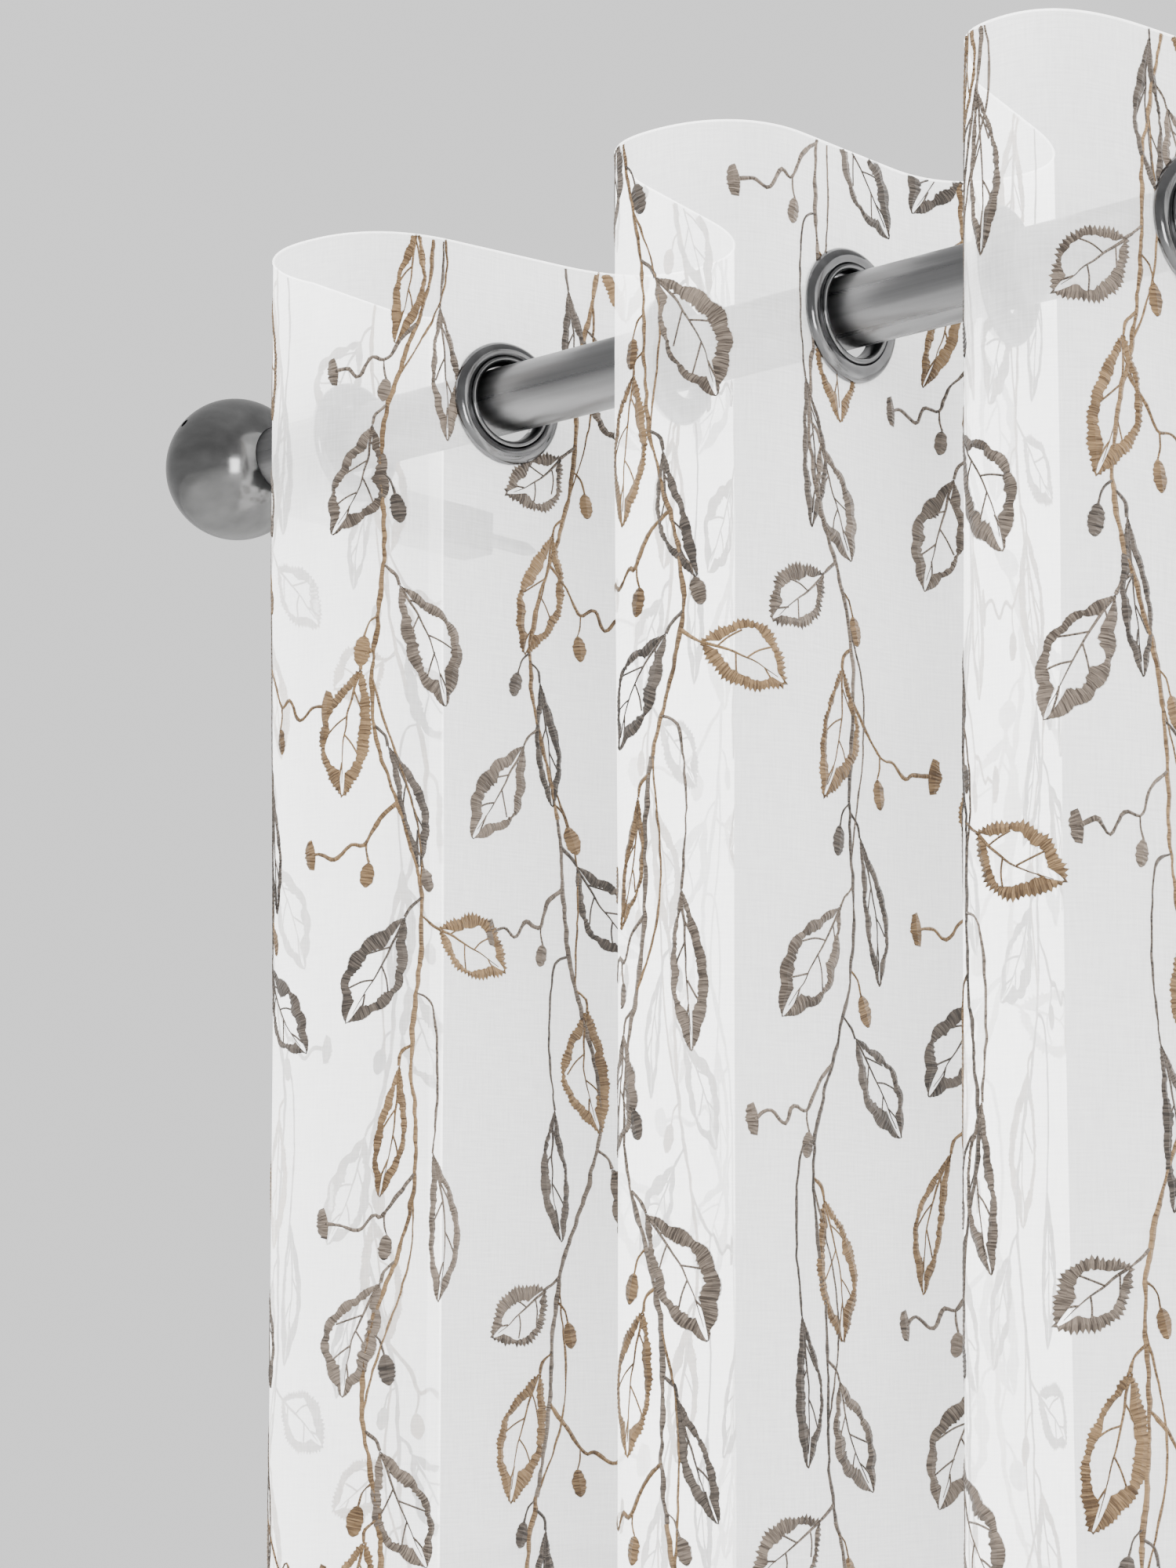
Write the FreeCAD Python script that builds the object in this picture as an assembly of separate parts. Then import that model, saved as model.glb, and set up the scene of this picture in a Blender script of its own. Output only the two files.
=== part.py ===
"""A pair of sheer eyelet curtains on a steel pole with ball finials and two square-bar wall brackets.

Frame: +X along the pole to the right, +Y into the wall, +Z up. The origin is on the wall plane, midway
between the two wall studs. Every size is in millimetres.
"""

import FreeCAD
import Part
import math
import os

V = FreeCAD.Vector

# Pole
POLE_RADIUS = 17.5
POLE_WALL = 1.5
POLE_TO_WALL = 124.0  # pole axis to wall plane

# Ball finials
BALL_RADIUS = 40.0
BALL_HALF_SPAN = 850.0  # ball centre to the middle of the pole
SOCKET_RADIUS = 17.8
SOCKET_DEPTH_PAST_CENTRE = 16.0
POLE_END_GAP = 2.0  # pole end to the bottom of the socket
GRUB_RADIUS = 2.5
GRUB_LENGTH = 9.0
GRUB_OFFSET = 8.0  # outwards from the ball centre, along the pole
GRUB_ELEVATION = 34.0  # degrees above the horizontal, on the room side
GRUB_KEY_RADIUS = 1.25
GRUB_KEY_DEPTH = 3.0
THREAD_CLEARANCE = 0.05

# Brackets: one square bar each, from under the pole straight to the wall
BAR_SIDE = 25.0
BRACKET_INSET = 72.0  # bar centre to ball centre
BAR_FRONT_REACH = 24.0  # bar end in front of the pole axis
SADDLE_DEPTH = 2.0
SADDLE_CLEARANCE = 0.05
BAR_EDGE_ROUND = 1.0
STUD_RADIUS = 4.0  # the part in the wall plug
STUD_BAR_RADIUS = 3.0  # the thinner part in the bar
STUD_MOUTH_DEPTH = 1.0  # widened mouth of the bar's bore
STUD_IN_BAR = 30.0
STUD_IN_WALL = 50.0
SCREW_RADIUS = 2.0
SCREW_HEAD_RADIUS = 4.5
SCREW_HEAD_HEIGHT = 4.0
SCREW_HEAD_RECESS = 6.0
SCREW_PAST_POLE_WALL = 3.0

# Curtain panels: distance of each eyelet from the ball centre, and how far its ring turns from
# square to the pole, in degrees, counted from the outer edge of the panel
EYELET_STATIONS = (97.0, 211.0, 328.0, 436.0, 526.0, 630.0, 733.0, 833.0)
EYELET_TURNS = (2.0, 13.0, 8.0, 3.0, 10.0, 12.0, 7.0, 6.0)
FABRIC_THICKNESS = 0.8
HEADER_ABOVE_POLE = 80.0
HEADER_DEPTH = 130.0  # the firmer band along the top that holds the eyelets
PANEL_DROP = 1370.0
FOLD_DEPTH = 85.0  # fold crest to pole axis, front and back
SIDE_HEM_DEPTH = 60.0  # how far the two side edges lie behind the pole axis
PLEAT_FLAT = 34.0  # half width of the flat patch that the eyelet grips

# Eyelets: a front half with a barrel through the cloth, and a back half snapped on the barrel
EYELET_INNER_RADIUS = 20.0
EYELET_OUTER_RADIUS = 32.5
BARREL_RADIUS = 21.5
BACK_HALF_CLEARANCE = 0.1
CLOTH_HOLE_CLEARANCE = 0.4
EYELET_HANG_GAP = 0.6  # left between the ring and the top of the pole

# Places worked out from the sizes above
POLE_Y = -POLE_TO_WALL
POLE_Z = BAR_SIDE / 2 - SADDLE_DEPTH + POLE_RADIUS
POLE_HALF_LENGTH = BALL_HALF_SPAN + SOCKET_DEPTH_PAST_CENTRE - POLE_END_GAP
BRACKET_X = BALL_HALF_SPAN - BRACKET_INSET
EYELET_Z = POLE_Z - (EYELET_INNER_RADIUS - POLE_RADIUS - EYELET_HANG_GAP)
PANEL_TOP = POLE_Z + HEADER_ABOVE_POLE
PANEL_BOTTOM = PANEL_TOP - PANEL_DROP
SIDES = (("left", -1.0), ("right", 1.0))


def save(name, shape):
    """Writes one sub-part to its own STEP file."""
    shape.exportStep("parts/" + name + ".step")


def cylinder(radius, start, end):
    """Round bar between two points."""
    return Part.makeCylinder(radius, (end - start).Length, start, end - start)


def pole():
    """Round tube, drilled from below for the two screws that hold it on the brackets."""
    start = V(-POLE_HALF_LENGTH, POLE_Y, POLE_Z)
    end = V(POLE_HALF_LENGTH, POLE_Y, POLE_Z)
    tube = cylinder(POLE_RADIUS, start, end).cut(cylinder(POLE_RADIUS - POLE_WALL, start, end))
    for _, side in SIDES:
        hole_start = V(side * BRACKET_X, POLE_Y, POLE_Z - POLE_RADIUS - 1.0)
        hole_end = V(side * BRACKET_X, POLE_Y, POLE_Z)
        tube = tube.cut(cylinder(SCREW_RADIUS + THREAD_CLEARANCE, hole_start, hole_end))
    return tube


def grub_axis(side):
    """Centre of the grub screw's hole on the pole axis, and the direction that it points out of the ball."""
    angle = math.radians(GRUB_ELEVATION)
    foot = V(side * (BALL_HALF_SPAN + GRUB_OFFSET), POLE_Y, POLE_Z)
    return foot, V(0, -math.cos(angle), math.sin(angle))


def finial(side):
    """Ball with a blind socket for the pole and a radial hole for its grub screw."""
    centre = V(side * BALL_HALF_SPAN, POLE_Y, POLE_Z)
    ball = Part.makeSphere(BALL_RADIUS, centre, V(0, 0, 1), -90, 90, 360)
    bottom = centre + V(side * SOCKET_DEPTH_PAST_CENTRE, 0, 0)
    mouth = centre - V(side * (BALL_RADIUS + 1.0), 0, 0)
    ball = ball.cut(cylinder(SOCKET_RADIUS, bottom, mouth))
    foot, out = grub_axis(side)
    hole = cylinder(GRUB_RADIUS + THREAD_CLEARANCE, foot, foot + out * (BALL_RADIUS + 1.0))
    return ball.cut(hole)


def grub_screw(side):
    """Headless screw whose tip bears on the pole, with a round key recess in its outer end."""
    foot, out = grub_axis(side)
    tip = foot + out * (POLE_RADIUS + THREAD_CLEARANCE)
    tail = tip + out * GRUB_LENGTH
    key = cylinder(GRUB_KEY_RADIUS, tail - out * GRUB_KEY_DEPTH, tail)
    return cylinder(GRUB_RADIUS, tip, tail).cut(key)


def bracket(side):
    """Square bar with rounded long edges, a saddle for the pole, a screw hole below it and a stud bore."""
    length = POLE_TO_WALL + BAR_FRONT_REACH
    corner = V(side * BRACKET_X - BAR_SIDE / 2, -length, -BAR_SIDE / 2)
    bar = Part.makeBox(BAR_SIDE, length, BAR_SIDE, corner)
    long_edges = [e for e in bar.Edges if abs(e.Length - length) < 0.01]
    bar = bar.makeFillet(BAR_EDGE_ROUND, long_edges)
    saddle_start = V(side * BRACKET_X - BAR_SIDE, POLE_Y, POLE_Z)
    saddle_end = V(side * BRACKET_X + BAR_SIDE, POLE_Y, POLE_Z)
    bar = bar.cut(cylinder(POLE_RADIUS + SADDLE_CLEARANCE, saddle_start, saddle_end))
    under = V(side * BRACKET_X, POLE_Y, -BAR_SIDE / 2)
    bar = bar.cut(cylinder(SCREW_RADIUS + THREAD_CLEARANCE, under - V(0, 0, 1), under + V(0, 0, BAR_SIDE)))
    recess = cylinder(SCREW_HEAD_RADIUS + 0.3, under - V(0, 0, 1), under + V(0, 0, SCREW_HEAD_RECESS))
    bar = bar.cut(recess)
    outside = V(side * BRACKET_X, 1.0, 0)
    bore_end = V(side * BRACKET_X, -STUD_IN_BAR - 1.0, 0)
    bar = bar.cut(cylinder(STUD_BAR_RADIUS + THREAD_CLEARANCE, bore_end, outside))
    mouth_end = V(side * BRACKET_X, -STUD_MOUTH_DEPTH, 0)
    return bar.cut(cylinder(STUD_RADIUS + THREAD_CLEARANCE, mouth_end, outside))


def pole_screws():
    """One screw up through each bracket into the underside of the pole."""
    screws = []
    for _, side in SIDES:
        seat = V(side * BRACKET_X, POLE_Y, -BAR_SIDE / 2 + SCREW_HEAD_RECESS)
        tip = V(side * BRACKET_X, POLE_Y, POLE_Z - POLE_RADIUS + POLE_WALL + SCREW_PAST_POLE_WALL)
        head = cylinder(SCREW_HEAD_RADIUS, seat - V(0, 0, SCREW_HEAD_HEIGHT), seat)
        key = cylinder(GRUB_KEY_RADIUS, seat - V(0, 0, SCREW_HEAD_HEIGHT), seat - V(0, 0, 1.5))
        screws.append(head.fuse(cylinder(SCREW_RADIUS, seat, tip)).removeSplitter().cut(key))
    return Part.makeCompound(screws)


def wall_studs():
    """One stud in the wall end of each bracket: the bracket is wound on to it against the wall."""
    studs = []
    for _, side in SIDES:
        inner = V(side * BRACKET_X, -STUD_IN_BAR, 0)
        wall = V(side * BRACKET_X, 0, 0)
        shank_end = V(side * BRACKET_X, STUD_IN_WALL - 2 * STUD_RADIUS, 0)
        point = Part.makeCone(STUD_RADIUS, 1.0, 2 * STUD_RADIUS, shank_end, V(0, 1, 0))
        stud = cylinder(STUD_BAR_RADIUS, inner, wall).fuse(cylinder(STUD_RADIUS, wall, shank_end))
        studs.append(stud.fuse(point).removeSplitter())
    return Part.makeCompound(studs)


def pleat_outline(turn):
    """Closed plan outline of the cloth at one eyelet, centred on it and running front to back.

    It is flat where the ring grips it, at the ring's turn, and bends square to the pole at both crests.
    """
    turn = math.radians(turn)
    along = V(math.sin(turn), math.cos(turn), 0)
    across = V(math.cos(turn), -math.sin(turn), 0)
    bend = (FOLD_DEPTH - PLEAT_FLAT * along.y) / math.sin(turn)
    half = FABRIC_THICKNESS / 2
    centre = along * PLEAT_FLAT - across * bend

    def arc(radius, sign):
        points = []
        for share in (0.0, 0.5, 1.0):
            angle = turn * (1.0 - share)
            points.append((centre + V(math.cos(angle), -math.sin(angle), 0) * radius) * sign)
        return points

    outer_back = arc(bend + half, 1.0)
    inner_back = arc(bend - half, 1.0)
    outer_front = arc(bend + half, -1.0)
    inner_front = arc(bend - half, -1.0)
    edges = [
        Part.LineSegment(inner_front[0], outer_back[0]).toShape(),
        Part.Arc(*outer_back).toShape(),
        Part.LineSegment(outer_back[2], inner_back[2]).toShape(),
        Part.Arc(*reversed(inner_back)).toShape(),
        Part.LineSegment(inner_back[0], outer_front[0]).toShape(),
        Part.Arc(*outer_front).toShape(),
        Part.LineSegment(outer_front[2], inner_front[2]).toShape(),
        Part.Arc(*reversed(inner_front)).toShape(),
    ]
    return Part.Wire(edges)


def ring_angle(side, number, turn):
    """Direction in plan, in degrees, that the front half of an eyelet faces.

    The cloth weaves through the eyelets, so that the front halves face out and in by turns.
    """
    faces_inwards = number % 2 == 0
    if faces_inwards == (side < 0):
        return -turn
    return 180.0 + turn


def pleat(side, number, x, turn):
    """The cloth carried by one eyelet, from its front crest to its back crest: a header band and the drop."""
    face = Part.Face(pleat_outline(turn))
    if number % 2 == 1:
        face = face.mirror(V(0, 0, 0), V(0, 1, 0))
    if side > 0:
        face = face.mirror(V(0, 0, 0), V(1, 0, 0))
    face.translate(V(x, POLE_Y, PANEL_BOTTOM))
    if number in (1, len(EYELET_STATIONS)):
        behind = V(x - FOLD_DEPTH, POLE_Y + SIDE_HEM_DEPTH, PANEL_BOTTOM - 1.0)
        face = face.cut(Part.makeBox(2 * FOLD_DEPTH, FOLD_DEPTH, 2.0, behind)).Faces[0]
    drop = face.extrude(V(0, 0, PANEL_DROP - HEADER_DEPTH))
    face.translate(V(0, 0, PANEL_DROP - HEADER_DEPTH))
    header = face.extrude(V(0, 0, HEADER_DEPTH))
    angle = math.radians(ring_angle(side, number, turn))
    facing = V(math.cos(angle), math.sin(angle), 0)
    middle = V(x, POLE_Y, EYELET_Z)
    hole = cylinder(BARREL_RADIUS + CLOTH_HOLE_CLEARANCE, middle - facing * 15, middle + facing * 15)
    return Part.makeCompound([header.cut(hole), drop])


def ring(edges, side, number, x, turn):
    """Turns a closed profile, given as (distance along the ring's axis, radius), into a ring in its place."""
    solid = Part.Face(Part.Wire(edges)).revolve(V(0, 0, 0), V(1, 0, 0), 360)
    solid.rotate(V(0, 0, 0), V(0, 0, 1), ring_angle(side, number, turn))
    solid.translate(V(x, POLE_Y, EYELET_Z))
    return solid


def path(*steps):
    """Edges through (axial, radial) points: a step of one point is a line, and of two is an arc through the first."""
    edges = []
    here = V(steps[0][0][0], 0, steps[0][0][1])
    for step in steps[1:]:
        points = [V(a, 0, r) for a, r in step]
        if len(points) == 1:
            edges.append(Part.LineSegment(here, points[0]).toShape())
        else:
            edges.append(Part.Arc(here, points[0], points[1]).toShape())
        here = points[-1]
    return edges


def eyelet_front(side, number, x, turn):
    """Domed flange, a step, a rolled inner lip, and the barrel that goes through the cloth."""
    cloth = FABRIC_THICKNESS / 2
    inner = EYELET_INNER_RADIUS
    outer = EYELET_OUTER_RADIUS
    profile = path(
        [(cloth, BARREL_RADIUS)],
        [(cloth, outer)],
        [(cloth + 0.7, outer)],
        [(cloth + 4.3, outer - 3.2), (cloth + 4.0, inner + 5.0)],
        [(cloth + 3.0, inner + 4.3)],
        [(cloth + 4.9, inner + 2.9), (cloth + 3.6, inner + 1.3)],
        [(cloth + 1.2, inner + 0.3), (-cloth - 0.8, inner)],
        [(-cloth - 4.0, inner)],
        [(-cloth - 4.0, BARREL_RADIUS)],
        [(cloth, BARREL_RADIUS)],
    )
    return ring(profile, side, number, x, turn)


def eyelet_back(side, number, x, turn):
    """Domed washer that snaps on the barrel behind the cloth."""
    cloth = FABRIC_THICKNESS / 2
    bore = BARREL_RADIUS + BACK_HALF_CLEARANCE
    outer = EYELET_OUTER_RADIUS
    profile = path(
        [(-cloth, bore)],
        [(-cloth, outer)],
        [(-cloth - 0.7, outer)],
        [(-cloth - 3.9, outer - 3.4), (-cloth - 4.0, bore + 2.2)],
        [(-cloth - 3.6, bore)],
        [(-cloth, bore)],
    )
    return ring(profile, side, number, x, turn)


os.makedirs("parts", exist_ok=True)
save("pole", pole())
save("pole_screws", pole_screws())
save("wall_studs", wall_studs())
for side_name, side in SIDES:
    save("finial_" + side_name, finial(side))
    save("grub_screw_" + side_name, grub_screw(side))
    save("bracket_" + side_name, bracket(side))
    for number, (station, turn) in enumerate(zip(EYELET_STATIONS, EYELET_TURNS), start=1):
        x = side * (BALL_HALF_SPAN - station)
        place = side_name + "_" + str(number)
        save("cloth_pleat_" + place, pleat(side, number, x, turn))
        save("eyelet_front_" + place, eyelet_front(side, number, x, turn))
        save("eyelet_back_" + place, eyelet_back(side, number, x, turn))
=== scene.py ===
"""Looks of a pair of sheer eyelet curtains on a steel pole.

Voile panels, raised embroidery, steel, floor, lights and camera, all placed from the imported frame.
"""

import math

import bpy
import numpy as np
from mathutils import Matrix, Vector


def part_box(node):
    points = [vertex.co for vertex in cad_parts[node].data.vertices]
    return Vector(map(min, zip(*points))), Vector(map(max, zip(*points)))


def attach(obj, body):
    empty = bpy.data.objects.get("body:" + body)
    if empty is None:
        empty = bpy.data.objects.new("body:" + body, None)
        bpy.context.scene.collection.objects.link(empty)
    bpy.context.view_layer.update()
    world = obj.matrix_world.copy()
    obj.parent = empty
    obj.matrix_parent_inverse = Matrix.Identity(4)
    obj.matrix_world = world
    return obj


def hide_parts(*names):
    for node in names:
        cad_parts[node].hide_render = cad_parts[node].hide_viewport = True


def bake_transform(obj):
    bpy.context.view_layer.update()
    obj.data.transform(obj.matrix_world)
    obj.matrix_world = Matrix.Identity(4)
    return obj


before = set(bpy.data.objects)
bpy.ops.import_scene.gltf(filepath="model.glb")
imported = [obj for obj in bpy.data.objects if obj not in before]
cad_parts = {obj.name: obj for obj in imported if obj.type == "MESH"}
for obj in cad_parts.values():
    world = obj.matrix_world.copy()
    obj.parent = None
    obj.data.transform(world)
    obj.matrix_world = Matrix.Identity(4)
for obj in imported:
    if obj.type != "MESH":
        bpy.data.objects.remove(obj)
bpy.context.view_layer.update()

SIDES = {"left": -1.0, "right": 1.0}
EYELETS = 8
MM = 0.001

# ---------------------------------------------------------------- places read from the frame


def middle(node):
    """Centre of a CAD node's box."""
    low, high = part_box(node)
    return (low + high) / 2


def ring_axis(node):
    """Unit axis of a ring: the direction in which its points spread least."""
    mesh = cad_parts[node].data
    points = np.zeros(len(mesh.vertices) * 3)
    mesh.vertices.foreach_get("co", points)
    points = points.reshape(-1, 3)
    return np.linalg.svd(points - points.mean(0), full_matrices=False)[2][2]


POLE = middle("pole")
CLOTH_LOW, CLOTH_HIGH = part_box("cloth_pleat_left_2")
CLOTH_TOP = CLOTH_HIGH.z
CLOTH_DROP = CLOTH_HIGH.z - CLOTH_LOW.z
FOLD_DEPTH = (CLOTH_HIGH.y - CLOTH_LOW.y) / 2
SIDE_EDGE_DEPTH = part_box("cloth_pleat_left_1")[1].y - POLE.y
RING_LOW, RING_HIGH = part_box("eyelet_front_left_1")
RING_RADIUS = (RING_HIGH.z - RING_LOW.z) / 2
RING_Z = (RING_LOW.z + RING_HIGH.z) / 2
RING_DEPTH = CLOTH_TOP - RING_Z
FINIAL_LOW, FINIAL_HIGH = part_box("finial_left")
BALL_RADIUS = (FINIAL_HIGH.z - FINIAL_LOW.z) / 2
BALL_X = -(FINIAL_LOW.x + BALL_RADIUS)


class Eyelet:
    """One eyelet in its panel's plan: x counts inwards from the ball centre, y from the pole to the wall."""

    def __init__(self, side, number):
        inward = -SIDES[side]
        world_x = middle(f"cloth_pleat_{side}_{number}").x
        axis = ring_axis(f"eyelet_front_{side}_{number}")
        along = np.array([-axis[1] * inward, axis[0]])
        goes_back = number % 2 == 0
        if (along[1] > 0) != goes_back:
            along = -along
        self.number = number
        self.body = f"{side}_eyelet_{number}"
        self.along = along / np.linalg.norm(along)
        self.x = inward * world_x + BALL_X
        self.centre = Vector((world_x, POLE.y, RING_Z))


# ---------------------------------------------------------------- the hang of the cloth

GRIP = 34 * MM  # half width of the patch that a ring holds flat
FREE_GRIP = 16 * MM  # the same patch low down, where no ring holds it
FREE_BELOW = 0.35  # how far below a ring the cloth has forgotten it
SAG_POWER = 0.8  # below 1 the folds drift more near the top than near the hem
STRAY = 3.0 * MM  # how far a free fold line strays from under its ring
RIPPLE = 0.02  # share by which a fold's depth varies on its way down
OUTER_EDGE = 10 * MM  # the outer side edge stands this far inwards of the first ring's middle at the top
INNER_EDGE = 9 * MM  # the inner side edge stands this far inwards of the last ring's middle at the top
EDGE_REACH = 3 * MM  # how far each side edge moves on the way down
EDGE_CURL = 12 * MM  # length of the handles that curl the side edges
EDGE_RUN = 8 * MM  # length of the handles where the side edges leave their rings
INSET = 1 * MM  # cloth stays this far inside the CAD pleats
CREST_DEPTH = FOLD_DEPTH - INSET
EDGE_DEPTH = SIDE_EDGE_DEPTH - INSET
# crest of each fold from half way between its two eyelets, and its drift over the drop
CREST_SHIFT = (-16 * MM, 3 * MM, -5 * MM, 3 * MM, 2 * MM, 5 * MM, -4 * MM)
CREST_DRIFT = (14 * MM, -6 * MM, -12 * MM, 9 * MM, -27 * MM, 8 * MM, -6 * MM)
# how far the leg that leads to each fold leans in at the top: a held bulge at the first fold, a slack one at
# the fifth
LEG_LEAN = (-9 * MM, 0.0, 5 * MM, 0.0, 17 * MM, 0.0, 0.0)
LEG_FULLNESS = 0.62
CREST_FULLNESS = 0.60
LEG_POINTS = 12
EDGE_POINTS = 24
QUARTER_POINTS = 60
BAY_CELLS = 48
MARGIN_CELLS = 14
FINE_ROW = 4.2 * MM
COARSE_ROW = 11 * MM
FINE_DEPTH = RING_DEPTH + 42 * MM
HOLE_RADIUS = 23 * MM  # cloth edge under the ring's flange
HEM_DEPTH = 60 * MM
HEM_OFFSET = 0.7 * MM
SIDE_HEM_CELLS = 2
ROLL_RADIUS = 0.55 * MM
ROLL_SIDES = 6


def bezier(start, handle_a, handle_b, end, count):
    """Points along a cubic curve in plan."""
    t = np.linspace(0.0, 1.0, count)[:, None]
    u = 1.0 - t
    return u**3 * start + 3 * u * u * t * handle_a + 3 * u * t * t * handle_b + t**3 * end


def straight(start, end):
    """Points along a straight leg in plan."""
    t = np.linspace(0.0, 1.0, LEG_POINTS)[:, None]
    return start + (end - start) * t


def smooth(low, high, value):
    """Smooth step from 0 to 1."""
    t = min(max((value - low) / (high - low), 0.0), 1.0)
    return t * t * (3.0 - 2.0 * t)


def quarter(leg_end, leg_way, crest, crest_way, lean=0.0):
    """A quarter of a fold, from the end of a straight leg to the crest."""
    reach_y = abs(crest[1] - leg_end[1])
    reach_x = abs(crest[0] - leg_end[0])
    handle_a = leg_end + leg_way * reach_y * LEG_FULLNESS + np.array([lean, 0.0])
    handle_b = crest + crest_way * reach_x * CREST_FULLNESS
    return bezier(leg_end, handle_a, handle_b, crest, QUARTER_POINTS)


def plan_segments(eyelets, depth):
    """Plan curves of one panel at a depth below its top: outer margin, seven bays, inner margin."""
    low_down = depth / CLOTH_DROP
    relaxed = smooth(RING_DEPTH + GRIP, RING_DEPTH + FREE_BELOW, depth)
    grip = GRIP + (FREE_GRIP - GRIP) * relaxed
    sag = low_down**SAG_POWER
    spots = []
    for e in eyelets:
        stray = STRAY * relaxed * math.sin(2.1 * e.number + 2.4 * low_down)
        spots.append(np.array([e.x + stray, 0.0]))
    first, last = eyelets[0], eyelets[-1]
    segments = []
    start = spots[0] + np.array([OUTER_EDGE + EDGE_REACH * sag, EDGE_DEPTH])
    leg = spots[0] - first.along * grip
    handle = start + np.array([-0.42, -0.9]) * EDGE_CURL
    outer = bezier(start, handle, leg - first.along * EDGE_RUN, leg, EDGE_POINTS)
    segments.append(np.concatenate([outer, straight(leg, spots[0])[1:]]))
    for i in range(EYELETS - 1):
        a, b = eyelets[i], eyelets[i + 1]
        ahead = -1.0 if i % 2 == 0 else 1.0
        middle_x = (a.x + b.x) / 2 + CREST_SHIFT[i] + CREST_DRIFT[i] * sag
        deep = CREST_DEPTH * (1.0 + RIPPLE * math.sin(1.7 * i + 3.0 * low_down))
        crest = np.array([middle_x, ahead * deep])
        leg_a = spots[i] + a.along * grip
        leg_b = spots[i + 1] - b.along * grip
        rise = quarter(leg_a, a.along, crest, np.array([-1.0, 0.0]), LEG_LEAN[i] * (1.0 - sag))
        fall = quarter(leg_b, -b.along, crest, np.array([1.0, 0.0]))[::-1]
        parts = [straight(spots[i], leg_a), rise[1:], fall[1:], straight(leg_b, spots[i + 1])[1:]]
        segments.append(np.concatenate(parts))
    leg = spots[-1] + last.along * grip
    end = spots[-1] + np.array([INNER_EDGE - EDGE_REACH * sag, EDGE_DEPTH])
    handle = end - np.array([0.30, 0.95]) * EDGE_CURL
    inner = bezier(leg, leg + last.along * EDGE_RUN, handle, end, EDGE_POINTS)
    segments.append(np.concatenate([straight(spots[-1], leg), inner[1:]]))
    return segments


def evenly(line, cells):
    """A line resampled to equal lengths."""
    steps = np.linalg.norm(np.diff(line, axis=0), axis=1)
    run = np.concatenate([[0.0], np.cumsum(steps)])
    wanted = np.linspace(0.0, run[-1], cells + 1)
    points = [np.interp(wanted, run, line[:, k]) for k in range(line.shape[1])]
    return np.stack(points, 1), run[-1]


class Panel:
    """A whole cloth panel as a grid of points: rows go down, columns go inwards from the outer edge."""

    def __init__(self, side):
        self.side = side
        self.inward = -SIDES[side]
        self.eyelets = [Eyelet(side, n) for n in range(1, EYELETS + 1)]
        fine = np.arange(0.0, FINE_DEPTH, FINE_ROW)
        coarse = np.linspace(FINE_DEPTH, CLOTH_DROP, round((CLOTH_DROP - FINE_DEPTH) / COARSE_ROW))
        self.depth = np.concatenate([fine, coarse])
        cells = [MARGIN_CELLS] + [BAY_CELLS] * (EYELETS - 1) + [MARGIN_CELLS]
        rows = []
        for depth in self.depth:
            line = []
            for k, segment in enumerate(plan_segments(self.eyelets, depth)):
                points, _ = evenly(segment, cells[k])
                line.append(points if k == 0 else points[1:])
            rows.append(np.concatenate(line))
        plan = np.stack(rows)
        self.borders = np.concatenate([[0], np.cumsum(cells)])
        widths = [evenly(s, 4)[1] for s in plan_segments(self.eyelets, RING_DEPTH)]
        across = [np.linspace(0, w, c + 1)[(k > 0) :] for k, (w, c) in enumerate(zip(widths, cells))]
        starts = np.concatenate([[0.0], np.cumsum(widths)])
        self.across = np.concatenate([a + s for a, s in zip(across, starts)])
        self.width = starts[-1]
        self.border_across = starts
        x = (plan[:, :, 0] - BALL_X) * self.inward
        y = plan[:, :, 1] + POLE.y
        z = np.repeat((CLOTH_TOP - self.depth)[:, None], x.shape[1], 1)
        self.points = np.stack([x, y, z], 2)
        down = np.gradient(self.points, self.depth, axis=0)
        sideways = np.gradient(self.points, self.across, axis=1)
        normal = np.cross(down, sideways) * self.inward
        self.normals = normal / np.linalg.norm(normal, axis=2, keepdims=True)

    def at(self, across, depth):
        """Points and room-side normals of the cloth at cloth coordinates."""
        col = np.interp(across, self.across, np.arange(len(self.across)))
        row = np.interp(depth, self.depth, np.arange(len(self.depth)))
        c0 = np.clip(col.astype(int), 0, len(self.across) - 2)
        r0 = np.clip(row.astype(int), 0, len(self.depth) - 2)
        fc = (col - c0)[:, None]
        fr = (row - r0)[:, None]

        def mix(grid):
            top = grid[r0, c0] * (1 - fc) + grid[r0, c0 + 1] * fc
            low = grid[r0 + 1, c0] * (1 - fc) + grid[r0 + 1, c0 + 1] * fc
            return top * (1 - fr) + low * fr

        normal = mix(self.normals)
        return mix(self.points), normal / np.linalg.norm(normal, axis=1, keepdims=True)

    def strips(self):
        """Each strip of cloth between two eyelets, or between an eyelet and an edge, with its bodies."""
        names = [e.body for e in self.eyelets]
        yield "outer_edge", 0, (names[0],)
        for i in range(EYELETS - 1):
            yield f"fold_{i + 1}", i + 1, (names[i], names[i + 1])
        yield "inner_edge", EYELETS, (names[-1],)


# ---------------------------------------------------------------- meshes and materials


def new_piece(name, points, faces, material):
    """A mesh object with smooth faces and one material."""
    mesh = bpy.data.meshes.new(name)
    mesh.from_pydata(points, [], faces)
    mesh.materials.append(material)
    mesh.polygons.foreach_set("use_smooth", [True] * len(mesh.polygons))
    mesh.update()
    piece = bpy.data.objects.new(name, mesh)
    bpy.context.scene.collection.objects.link(piece)
    return piece


NOISE_LOW, NOISE_HIGH = 0.3, 0.7  # nearly all values of a noise lie between these


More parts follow.
